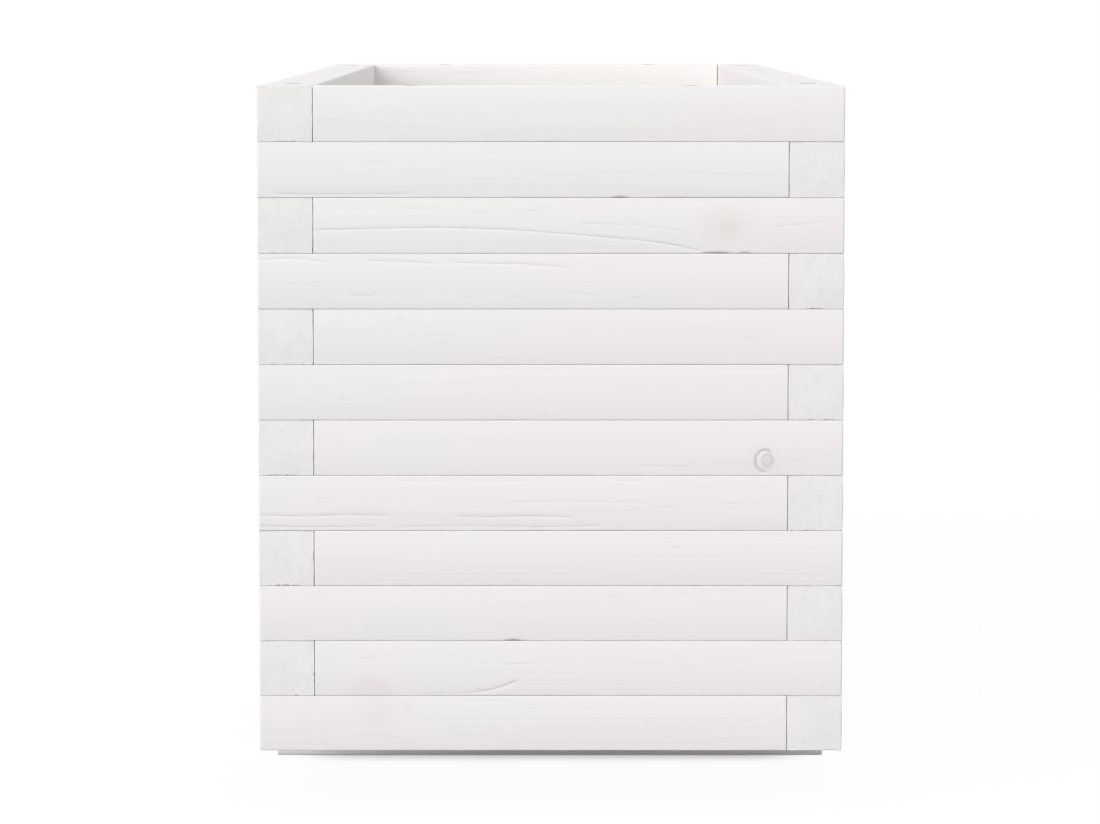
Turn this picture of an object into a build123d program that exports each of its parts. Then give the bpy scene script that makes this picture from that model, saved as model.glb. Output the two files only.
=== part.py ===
from build123d import *
import os

# Raised garden bed of square pine battens, laid in courses and crossed at the corners.
# Each course is a ring of four battens: at every corner one batten runs through and the
# other butts against its side, and the next course has it the other way round. The walls
# stand on foot runners, which also carry a slatted floor.
# Sizes are in millimetres. +Z is up, +Y runs along the bed, and the origin is on the
# ground under its middle. The end wall at -Y is the front.

# Outside of the bed
bed_width = 400.0
bed_length = 1100.0
course_count = 12

# Wall battens
batten_thickness = 38.0
batten_height = 38.0
batten_arris = 1.2
butt_gap = 0.3

# Foot runners across the bed, the outer ones set in from its ends
runner_count = 3
runner_width = 38.0
runner_height = 38.0
runner_inset = 184.0
runner_arris = 1.5

# Floor slats along the bed, with a drain gap on both sides of each
slat_count = 4
slat_thickness = 18.0
drain_gap = 8.8
slat_end_clearance = 2.0
slat_arris = 1.5

# Batten screws, sunk in a recess. The bite is how deep they reach into the next piece.
screw_diameter = 5.0
screw_head_diameter = 9.6
screw_bite = 28.0
screw_recess_diameter = 12.0
screw_recess_depth = 6.0
screw_end_inset = 104.0
screw_stagger = 26.0

# Two screws cross each runner joint, this far from its middle both ways
runner_screw_offset = 9.0

# Slat screws, flush with the floor
slat_screw_diameter = 4.0
slat_screw_head_diameter = 8.0
slat_screw_bite = 17.0

# Shared by all screws
screw_point_length = 6.0
screw_drive_width = 1.2
screw_drive_depth = 1.6
screw_clearance = 0.15
pilot_clearance = 1.0
sink_angle = 90.0

# Worked out from the sizes above
half_width = bed_width / 2
half_length = bed_length / 2
wall_base = runner_height
rim_height = wall_base + course_count * batten_height
inner_width = bed_width - 2 * batten_thickness
inner_length = bed_length - 2 * batten_thickness
slat_width = (inner_width - (slat_count + 1) * drain_gap) / slat_count
slat_length = inner_length - 2 * slat_end_clearance
floor_height = runner_height + slat_thickness
side_line = half_width - batten_thickness / 2
end_line = half_length - batten_thickness / 2
runner_line = half_length - runner_inset - runner_width / 2
runner_pitch = 2 * runner_line / (runner_count - 1)
runner_lines = [runner_pitch * i - runner_line for i in range(runner_count)]
slat_pitch = slat_width + drain_gap
slat_lines = [slat_pitch * (i - (slat_count - 1) / 2) for i in range(slat_count)]
courses = range(1, course_count + 1)
walls = ("front", "back", "left", "right")


def course_base(course):
    """Height of the underside of a course, counted from 1 at the bottom."""
    return wall_base + (course - 1) * batten_height


def hand(course):
    """1 where the left batten runs through to the front, as in the top course, else -1."""
    return 1 if (course_count - course) % 2 == 0 else -1


def batten_place(wall, course):
    """Middle of a batten in plan, and its size along X and along Y."""
    shift = hand(course) * (batten_thickness + butt_gap) / 2
    short = bed_width - batten_thickness - butt_gap
    long = bed_length - batten_thickness - butt_gap
    if wall == "front":
        return (shift, -end_line), (short, batten_thickness)
    if wall == "back":
        return (-shift, end_line), (short, batten_thickness)
    if wall == "left":
        return (-side_line, -shift), (batten_thickness, long)
    return (side_line, shift), (batten_thickness, long)


def screw_places(wall, course):
    """Plan positions of the screws that go down through a batten."""
    step = 0 if hand(course) == 1 else screw_stagger
    if wall in ("front", "back"):
        y = -end_line if wall == "front" else end_line
        reach = half_width - screw_end_inset - step
        return [(x, y) for x in (-reach, reach)]
    x = -side_line if wall == "left" else side_line
    reach = half_length - screw_end_inset - step
    return [(x, y) for y in (-reach, reach)]


def runner_screw_places(y):
    """Plan positions of the screws that go up through the runner at y."""
    offset = runner_screw_offset
    return [
        (side * side_line + sign * side * offset, y + sign * offset)
        for side in (-1, 1)
        for sign in (-1, 1)
    ]


def drill_screw_holes(places, top, diameter, head_diameter, recess_depth, turned=False):
    """Cuts through holes with a cone seat for the head, and a recess over it, if any."""
    turn = (180, 0, 0) if turned else (0, 0, 0)
    seat = top + recess_depth if turned else top - recess_depth
    radius = diameter / 2 + screw_clearance
    if recess_depth > 0:
        with Locations(*[Location((x, y, top), turn) for x, y in places]):
            CounterBoreHole(radius, screw_recess_diameter / 2, recess_depth)
    with Locations(*[Location((x, y, seat), turn) for x, y in places]):
        CounterSinkHole(
            radius, head_diameter / 2 + screw_clearance, counter_sink_angle=sink_angle
        )


def drill_pilot_holes(places, level, diameter, bite):
    """Cuts blind holes for the screw ends, as deep from this face as they reach."""
    with Locations(*[(x, y, level) for x, y in places]):
        Hole(diameter / 2 + screw_clearance, bite + pilot_clearance)


def wood_screw(diameter, head_diameter, length):
    """Countersunk screw that points down, with the middle of its head's top at the origin."""
    shank = diameter / 2
    head = head_diameter / 2
    with BuildPart() as screw:
        with BuildSketch(Plane.XZ):
            with BuildLine():
                Polyline(
                    (0, 0),
                    (head, 0),
                    (shank, shank - head),
                    (shank, screw_point_length - length),
                    (0, -length),
                    close=True,
                )
            make_face()
        revolve(axis=Axis.Z)
        with BuildSketch():
            Rectangle(head, screw_drive_width)
            Rectangle(screw_drive_width, head)
        extrude(amount=-screw_drive_depth, mode=Mode.SUBTRACT)
    return screw.part


def save(piece, name):
    """Labels a piece and writes its file."""
    piece.label = name
    export_step(piece, f"parts/{name}.step")


os.makedirs("parts", exist_ok=True)

# Wall battens, one at a time from the bottom course up
for course in courses:
    base = course_base(course)
    top = base + batten_height
    for wall in walls:
        (x, y), (size_x, size_y) = batten_place(wall, course)
        grain = Axis.X if wall in ("front", "back") else Axis.Y
        with BuildPart() as batten:
            with BuildSketch(Plane((x, y, base))):
                Rectangle(size_x, size_y)
            extrude(amount=batten_height)
            fillet(batten.edges().filter_by(grain), batten_arris)
            if course > 1:
                drill_screw_holes(
                    screw_places(wall, course),
                    top,
                    screw_diameter,
                    screw_head_diameter,
                    screw_recess_depth,
                )
            if course < course_count:
                above = screw_places(wall, course + 1)
                drill_pilot_holes(above, top, screw_diameter, screw_bite)
            if course == 1 and wall in ("left", "right"):
                below = [
                    place
                    for line in runner_lines
                    for place in runner_screw_places(line)
                    if place[0] * x > 0
                ]
                drill_pilot_holes(below, base, screw_diameter, screw_bite)
        save(batten.part, f"course_{course:02d}_{wall}_batten")

# Foot runners, screwed up into the bottom course
for number, line in enumerate(runner_lines, 1):
    with BuildPart() as runner:
        with BuildSketch(Plane((0, line, 0))):
            Rectangle(bed_width, runner_width)
        extrude(amount=runner_height)
        fillet(runner.edges().filter_by(Axis.X), runner_arris)
        drill_screw_holes(
            runner_screw_places(line),
            0,
            screw_diameter,
            screw_head_diameter,
            screw_recess_depth,
            turned=True,
        )
        slat_holes = [(x, line) for x in slat_lines]
        drill_pilot_holes(slat_holes, runner_height, slat_screw_diameter, slat_screw_bite)
    save(runner.part, f"foot_runner_{number}")

# Floor slats, screwed down to every runner
for number, line in enumerate(slat_lines, 1):
    with BuildPart() as slat:
        with BuildSketch(Plane((line, 0, runner_height))):
            Rectangle(slat_width, slat_length)
        extrude(amount=slat_thickness)
        fillet(slat.edges().filter_by(Axis.Y), slat_arris)
        drill_screw_holes(
            [(line, y) for y in runner_lines],
            floor_height,
            slat_screw_diameter,
            slat_screw_head_diameter,
            0,
        )
    save(slat.part, f"floor_slat_{number}")

# Screws of the end walls and of the side walls, with their heads at the recess floors
wall_screw_length = batten_height - screw_recess_depth + screw_bite
wall_screw = wood_screw(screw_diameter, screw_head_diameter, wall_screw_length)
screw_groups = {
    "end_wall_screws": ("front", "back"),
    "side_wall_screws": ("left", "right"),
}
for name, group in screw_groups.items():
    heads = [
        (x, y, course_base(course + 1) - screw_recess_depth)
        for course in courses
        if course > 1
        for wall in group
        for x, y in screw_places(wall, course)
    ]
    with BuildPart() as screws:
        with Locations(*heads):
            add(wall_screw)
    save(screws.part, name)

# Runner screws, which point up
runner_screw_length = runner_height - screw_recess_depth + screw_bite
runner_screw = wood_screw(screw_diameter, screw_head_diameter, runner_screw_length)
heads = [
    Location((x, y, screw_recess_depth), (180, 0, 0))
    for line in runner_lines
    for x, y in runner_screw_places(line)
]
with BuildPart() as runner_screws:
    with Locations(*heads):
        add(runner_screw)
save(runner_screws.part, "runner_screws")

# Floor screws, flush with the slats
slat_screw_length = slat_thickness + slat_screw_bite
slat_screw = wood_screw(slat_screw_diameter, slat_screw_head_diameter, slat_screw_length)
heads = [(x, y, floor_height) for x in slat_lines for y in runner_lines]
with BuildPart() as floor_screws:
    with Locations(*heads):
        add(slat_screw)
save(floor_screws.part, "floor_screws")

print("bed", bed_width, "x", bed_length, "x", rim_height, "mm")
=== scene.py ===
"""Dresses a raised garden bed: white stained pine battens, foot runners, floor slats and screws.

Lengths are in metres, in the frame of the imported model: +Z up, +Y along the bed, and the
origin on the ground under its middle. The end wall at -Y is the front.
"""

import logging
import math
import random
from dataclasses import dataclass, field, replace
from enum import Enum, IntEnum
from typing import Sequence, Union

import bpy
import numpy as np
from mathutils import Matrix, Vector


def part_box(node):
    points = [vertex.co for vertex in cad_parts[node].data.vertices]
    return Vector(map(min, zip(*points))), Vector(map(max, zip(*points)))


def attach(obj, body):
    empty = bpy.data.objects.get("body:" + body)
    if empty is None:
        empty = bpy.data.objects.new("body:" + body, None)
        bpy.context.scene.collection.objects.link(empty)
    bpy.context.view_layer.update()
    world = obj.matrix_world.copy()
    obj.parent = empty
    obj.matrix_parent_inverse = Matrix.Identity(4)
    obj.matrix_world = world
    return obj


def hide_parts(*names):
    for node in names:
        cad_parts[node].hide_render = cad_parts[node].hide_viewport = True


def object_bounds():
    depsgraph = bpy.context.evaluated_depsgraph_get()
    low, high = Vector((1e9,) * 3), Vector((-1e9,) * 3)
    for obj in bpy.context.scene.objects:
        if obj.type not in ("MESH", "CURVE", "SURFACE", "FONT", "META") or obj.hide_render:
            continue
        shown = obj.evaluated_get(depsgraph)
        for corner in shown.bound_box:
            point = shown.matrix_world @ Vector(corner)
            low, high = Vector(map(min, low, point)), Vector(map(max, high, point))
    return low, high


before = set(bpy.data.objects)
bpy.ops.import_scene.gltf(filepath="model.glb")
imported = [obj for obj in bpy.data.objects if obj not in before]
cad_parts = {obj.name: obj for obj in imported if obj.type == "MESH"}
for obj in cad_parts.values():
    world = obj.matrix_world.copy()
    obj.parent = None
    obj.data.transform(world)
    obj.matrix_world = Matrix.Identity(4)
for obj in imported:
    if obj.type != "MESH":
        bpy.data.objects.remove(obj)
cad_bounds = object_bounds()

LOG = logging.getLogger("raised_bed")
BODY = "root"
MM = 0.001
SENSOR_WIDTH = 36.0
RING_SPACING = 3.4 * MM
SHARP_ANGLE = math.radians(62)
Colour = tuple[float, float, float]


class Wall(Enum):
    """The four walls of a course."""

    FRONT = "front"
    BACK = "back"
    LEFT = "left"
    RIGHT = "right"

    @property
    def grain(self) -> int:
        """World axis that the battens of this wall run along."""
        return 0 if self in (Wall.FRONT, Wall.BACK) else 1

    @property
    def outward(self) -> int:
        """Direction of the outer face along the other level axis."""
        return 1 if self in (Wall.BACK, Wall.RIGHT) else -1


class Face(IntEnum):
    """The long faces of a timber, in the order that its outline runs over them."""

    OUTER = 0
    TOP = 1
    INNER = 2
    BOTTOM = 3


class Edge(IntEnum):
    """The two long edges of a timber's outer face, by their place among its corners."""

    BOTTOM = 0
    TOP = 1


Number = Union[float, "Signal"]


class Shader:
    """Builds the nodes of one material or world."""

    def __init__(self, tree: bpy.types.NodeTree) -> None:
        """Starts with an empty tree.

        Args:
            tree: The node tree to fill.
        """
        self.tree = tree
        tree.nodes.clear()

    def node(self, kind: str, settings: dict | None = None, **inputs: object) -> bpy.types.Node:
        """Adds a node.

        Args:
            kind: Node type without its ShaderNode prefix.
            settings: Properties that are set first. "curve" fills a float curve with
                (x, y) pairs.
            **inputs: Values or signals by socket name, with _ for a space, or by _ and a
                number for a socket that shares its name.

        Returns:
            The node.
        """
        made = self.tree.nodes.new("ShaderNode" + kind)
        for name, value in (settings or {}).items():
            if name == "curve":
                self.fill_curve(made.mapping, value)
            else:
                setattr(made, name, value)
        for name, value in inputs.items():
            number = name[1:]
            key = int(number) if name[0] == "_" and number.isdigit() else name.replace("_", " ")
            if isinstance(value, Signal):
                self.tree.links.new(value.socket, made.inputs[key])
            else:
                made.inputs[key].default_value = value
        return made

    @staticmethod
    def fill_curve(mapping: bpy.types.CurveMapping, points: Sequence[tuple[float, float]]) -> None:
        """Gives a float curve its points.

        Args:
            mapping: The curve mapping of the node.
            points: (x, y) pairs, from 0 to 1.
        """
        curve = mapping.curves[0]
        for number, (x, y) in enumerate(points):
            if number < 2:
                curve.points[number].location = (x, y)
            else:
                curve.points.new(x, y)
        mapping.update()

    def signal(self, kind: str, output: str | int, settings: dict | None = None,
               **inputs: object) -> "Signal":
        """Adds a node and returns one of its outputs."""
        return Signal(self, self.node(kind, settings, **inputs).outputs[output])

    def math(self, operation: str, *values: Number) -> "Signal":
        """Adds a Math node."""
        inputs = {f"_{k}": value for k, value in enumerate(values)}
        return self.signal("Math", 0, {"operation": operation}, **inputs)

    def vector_math(self, operation: str, first: object, second: object) -> "Signal":
        """Adds a Vector Math node."""
        return self.signal("VectorMath", 0, {"operation": operation}, _0=first, _1=second)

    def attribute(self, name: str) -> "Signal":
        """Vector attribute of the mesh."""
        return self.signal("Attribute", "Vector", {"attribute_name": name})

    def parts(self, vector: "Signal") -> tuple["Signal", "Signal", "Signal"]:
        """The three parts of a vector."""
        split = self.node("SeparateXYZ", Vector=vector)
        x, y, z = (Signal(self, split.outputs[k]) for k in range(3))
        return x, y, z

    def joined(self, x: Number, y: Number, z: Number) -> "Signal":
        """A vector of three numbers."""
        return self.signal("CombineXYZ", 0, X=x, Y=y, Z=z)

    def noise(self, place: "Signal", detail: float = 2.0, roughness: float = 0.5) -> "Signal":
        """Noise from 0 to 1 at a place."""
        return self.signal(
            "TexNoise", 0, Vector=place, Scale=1.0, Detail=detail, Roughness=roughness
        )

    def ramp(self, value: Number, low: float, high: float, to_low: float = 0.0,
             to_high: float = 1.0) -> "Signal":
        """Eases a value from one range to another, and holds it at the ends."""
        return self.signal(
            "MapRange", 0, {"interpolation_type": "SMOOTHSTEP"}, Value=value, From_Min=low,
            From_Max=high, To_Min=to_low, To_Max=to_high,
        )

    def blend(self, share: Number, first: object, second: object) -> "Signal":
        """Mixes two colours."""
        return self.signal("Mix", 2, {"data_type": "RGBA"}, _0=share, _6=first, _7=second)

    def tinted(self, colour: object, factor: Number) -> "Signal":
        """A colour times a number."""
        return self.vector_math("MULTIPLY", colour, self.joined(factor, factor, factor))


@dataclass(frozen=True)
class Signal:
    """An output socket, with arithmetic on its value.

    Attributes:
        shader: The shader that it belongs to.
        socket: The output socket.
    """

    shader: Shader
    socket: bpy.types.NodeSocket

    def __add__(self, other: Number) -> "Signal":
        """Sum."""
        return self.shader.math("ADD", self, other)

    def __sub__(self, other: Number) -> "Signal":
        """Difference."""
        return self.shader.math("SUBTRACT", self, other)

    def __rsub__(self, other: Number) -> "Signal":
        """Difference from a number."""
        return self.shader.math("SUBTRACT", other, self)

    def __mul__(self, other: Number) -> "Signal":
        """Product."""
        return self.shader.math("MULTIPLY", self, other)

    def __truediv__(self, other: Number) -> "Signal":
        """Quotient."""
        return self.shader.math("DIVIDE", self, other)

    def size(self) -> "Signal":
        """Value without its sign."""
        return self.shader.math("ABSOLUTE", self)

    def root(self) -> "Signal":
        """Square root."""
        return self.shader.math("SQRT", self)

    def at_most(self, other: Number) -> "Signal":
        """The smaller of two values."""
        return self.shader.math("MINIMUM", self, other)

    def at_least(self, other: Number) -> "Signal":
        """The larger of two values."""
        return self.shader.math("MAXIMUM", self, other)


@dataclass
class Coat:
    """What a finish has built up over a timber before its surface shader is made.

    Attributes:
        shader: The shader of the finish.
        along: Place along the timber, from the middle of the bed.
        up: Height above the middle of the timber.
        colour: Colour so far.
        dark: Darkness so far, from 0 to 1.
        height: Height of the surface so far, in metres.
    """

    shader: Shader
    along: Signal
    up: Signal
    colour: Signal
    dark: Signal
    height: Signal


@dataclass(frozen=True)
class Knot:
    """A knot in a timber's outer face.

    Attributes:
        along: Place along the timber, from the middle of the bed.
        up: Height above the middle of the timber.
        radius: Radius of the knot across the grain.
        stretch: Length along the grain over height.
        ring: Darkness of the bark ring round it, from 0 to 1.
        heart: Darkness of its heart, from 0 to 1.
        blush: Strength of the colour around it, from 0 to 1.
        relief: How far the ring is sunk.
        ragged: How uneven its shape is.
    """

    along: float
    up: float
    radius: float
    stretch: float = 1.0
    ring: float = 0.5
    heart: float = 0.3
    blush: float = 0.5
    relief: float = 0.15 * MM
    ragged: float = 1.0

    def sunk(self, along: np.ndarray, up: np.ndarray) -> np.ndarray:
        """How far the knot lies below the face at some places."""
        x = (along - self.along) / (self.radius * self.stretch)
        span = np.hypot(x, (up - self.up) / self.radius)
        ring = np.exp(-(((span - 1) / 0.16) ** 2)) * np.clip(0.6 - 0.6 * x, 0, 1)
        return self.relief * (ring - 0.5 * np.exp(-((span / 0.5) ** 2)))

    def bend(self, shader: Shader, along: Signal, up: Signal) -> Signal:
        """How far the grain lines are pushed up or down round the knot."""
        x = (along - self.along) / (self.radius * (self.stretch + 0.6))
        y = (up - self.up) / (self.radius * 1.3)
        near = shader.math("EXPONENT", (x * x + y * y) * -0.7)
        return (up - self.up) * near * 0.85

    def paint(self, coat: Coat, blush_colour: Colour) -> None:
        """Adds the knot to a coat.

        Args:
            coat: The coat, which is changed.
            blush_colour: Colour of the stained wood around it.
        """
        shader = coat.shader
        wobble = shader.noise(shader.joined(coat.along * 260, 0.5, coat.up * 260), 2) - 0.5
        wobble = wobble * (0.36 * self.ragged)
        x = (coat.along - self.along) / (self.radius * self.stretch)
        y = (coat.up - self.up) / self.radius
        span = (x * x + y * y).root() + wobble
        open_side = shader.ramp(x - y * 0.3, 0.75, -0.1, 0.1, 1.0)
        bark = shader.ramp((span - 1.0).size(), 0.24, 0.03) * open_side
        shift = x - 0.22
        inner = (shift * shift + y * y).root() + wobble * 0.6
        soft = 0.12 * (self.ragged - 1.0)
        heart = shader.ramp(inner, 0.68 + soft, 0.52 - soft)
        heart_edge = shader.ramp((inner - 0.62).size(), 0.16, 0.02) * shader.ramp(y, -0.6, 0.5, 0.3)
        rings = shader.math("SINE", inner * 26.0) * 0.5 + 0.5
        around = shader.ramp(span, 2.3, 0.7)
        coat.colour = shader.blend(around * (0.55 * self.blush), coat.colour, (*blush_colour, 1.0))
        coat.dark = coat.dark + bark * (0.5 * self.ring) + heart_edge * (0.45 * self.ring)
        coat.dark = coat.dark + heart * self.heart * (rings * 0.15 + 0.3)
        coat.height = coat.height - bark * self.relief - heart_edge * (0.5 * self.relief)


@dataclass(frozen=True)
class GrainAndShadeLine:
    """A raised or split grain line in a timber's outer face, or a dark line of painted shade along
    a chipped edge.

    Attributes:
        points: (along, up) places that it runs through, from left to right.
        width: Half width of the groove.
        dark: Darkness, from 0 to 1; above 1 for the painted shade lines along chipped edges.
        depth: Depth of the groove.
    """

    points: tuple[tuple[float, float], ...]
    width: float
    dark: float
    depth: float

    @property
    def span(self) -> tuple[float, float]:
        """Where it starts and ends along the timber."""
        return self.points[0][0], self.points[-1][0]

    def sunk(self, along: np.ndarray, up: np.ndarray) -> np.ndarray:
        """How far the groove lies below the face at some places."""
        places, heights = (np.array(column) for column in zip(*self.points))
        slopes = np.gradient(heights, places)
        part = np.clip(np.searchsorted(places, along) - 1, 0, len(places) - 2)
        length = places[part + 1] - places[part]
        t = np.clip((along - places[part]) / length, 0, 1)
        path = (
            (1 + 2 * t) * (1 - t) ** 2 * heights[part] + t**2 * (3 - 2 * t) * heights[part + 1]
            + length * t * (1 - t) * ((1 - t) * slopes[part] - t * slopes[part + 1])
        )
        first, last = self.span
        fade = np.clip(np.minimum(along - first, last - along) / (4 * MM) + 0.5, 0, 1)
        return self.depth * fade * np.exp(-(((up - path) / (1.3 * self.width)) ** 2))

    def paint(self, coat: Coat, blush_colour: Colour) -> None:
        """Adds the line to a coat.

        Args:
            coat: The coat, which is changed.
            blush_colour: Not used by a line.
        """
        shader, (first, last) = coat.shader, self.span
        heights = [height for _, height in self.points]
        low, rise = min(heights) - 1 * MM, max(heights) - min(heights) + 2 * MM
        curve = [((a - first) / (last - first), (h - low) / rise) for a, h in self.points]
        share = (coat.along - first) / (last - first)
        path = shader.signal("FloatCurve", 0, {"curve": curve}, Value=share) * rise + low
        wobble = shader.noise(shader.joined(coat.along * 150, 0.3, 0.7), 2) - 0.5
        beside = (coat.up - path - wobble * (1.2 * self.width)).size()
        thick = shader.noise(shader.joined(coat.along * 70, 2.1, 4.4), 1)
        width = shader.ramp(thick, 0.34, 0.66, 0.25 * self.width, 1.15 * self.width)
        core = (1.0 - beside / width).at_least(0.0)
        soft = 5 * MM
        ends = shader.ramp(coat.along, first - soft, first + soft) * shader.ramp(
            coat.along, last + soft, last - soft
        )
        groove = core * ends
        # On the lines along chipped edges this darkness is painted shade; on the others it is the
        # grain's colour.
        coat.dark = coat.dark + groove * (0.4 * self.dark)
        coat.height = coat.height - groove * (0.5 * self.depth)


@dataclass(frozen=True)
class Wane:
    """A stretch where a long edge is chipped or worn away more than the rest.

    Attributes:
        along: Middle of the stretch, from the middle of the bed.
        length: Half length of the stretch.
        edge: Which edge of the outer face.
        depth: Extra radius of the edge.
    """

    along: float
    length: float
    edge: Edge
    depth: float

    def extra_radius(self, along: np.ndarray) -> np.ndarray:
        """Extra radius of its edge at some places along the timber."""
        return self.depth * np.exp(-(((along - self.along) / self.length) ** 4))


Mark = Union[Knot, GrainAndShadeLine, Wane]


def line(*places: float, width: float = 0.7, dark: float = 0.35, depth: float = 0.12) -> GrainAndShadeLine:
    """Makes a grain line, or a painted shade line, from sizes in millimetres.

    Args:
        *places: along, up, along, up and so on.
        width: Half width.
        dark: Darkness, from 0 to 1.
        depth: Depth.

    Returns:
        The line, in metres.
    """
    pairs = tuple((a * MM, u * MM) for a, u in zip(places[::2], places[1::2]))
    return GrainAndShadeLine(pairs, width * MM, dark, depth * MM)


def knot(along: float, up: float, radius: float, **rest: float) -> Knot:
    """Makes a knot from a place and a radius in millimetres.

    Args:
        along: Place along the timber.
        up: Height above its middle.
        radius: Radius.
        **rest: The knot's other values.

    Returns:
        The knot, in metres.
    """
    return Knot(along * MM, up * MM, radius * MM, **rest)


def wane(along: float, length: float, edge: Edge, depth: float) -> Wane:
    """Makes a worn edge from sizes in millimetres.

    Args:
        along: Middle of the stretch.
        length: Half length.
        edge: Which edge.
        depth: Extra radius.

    Returns:
        The worn edge, in metres.
    """
    return Wane(along * MM, length * MM, edge, depth * MM)
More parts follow.
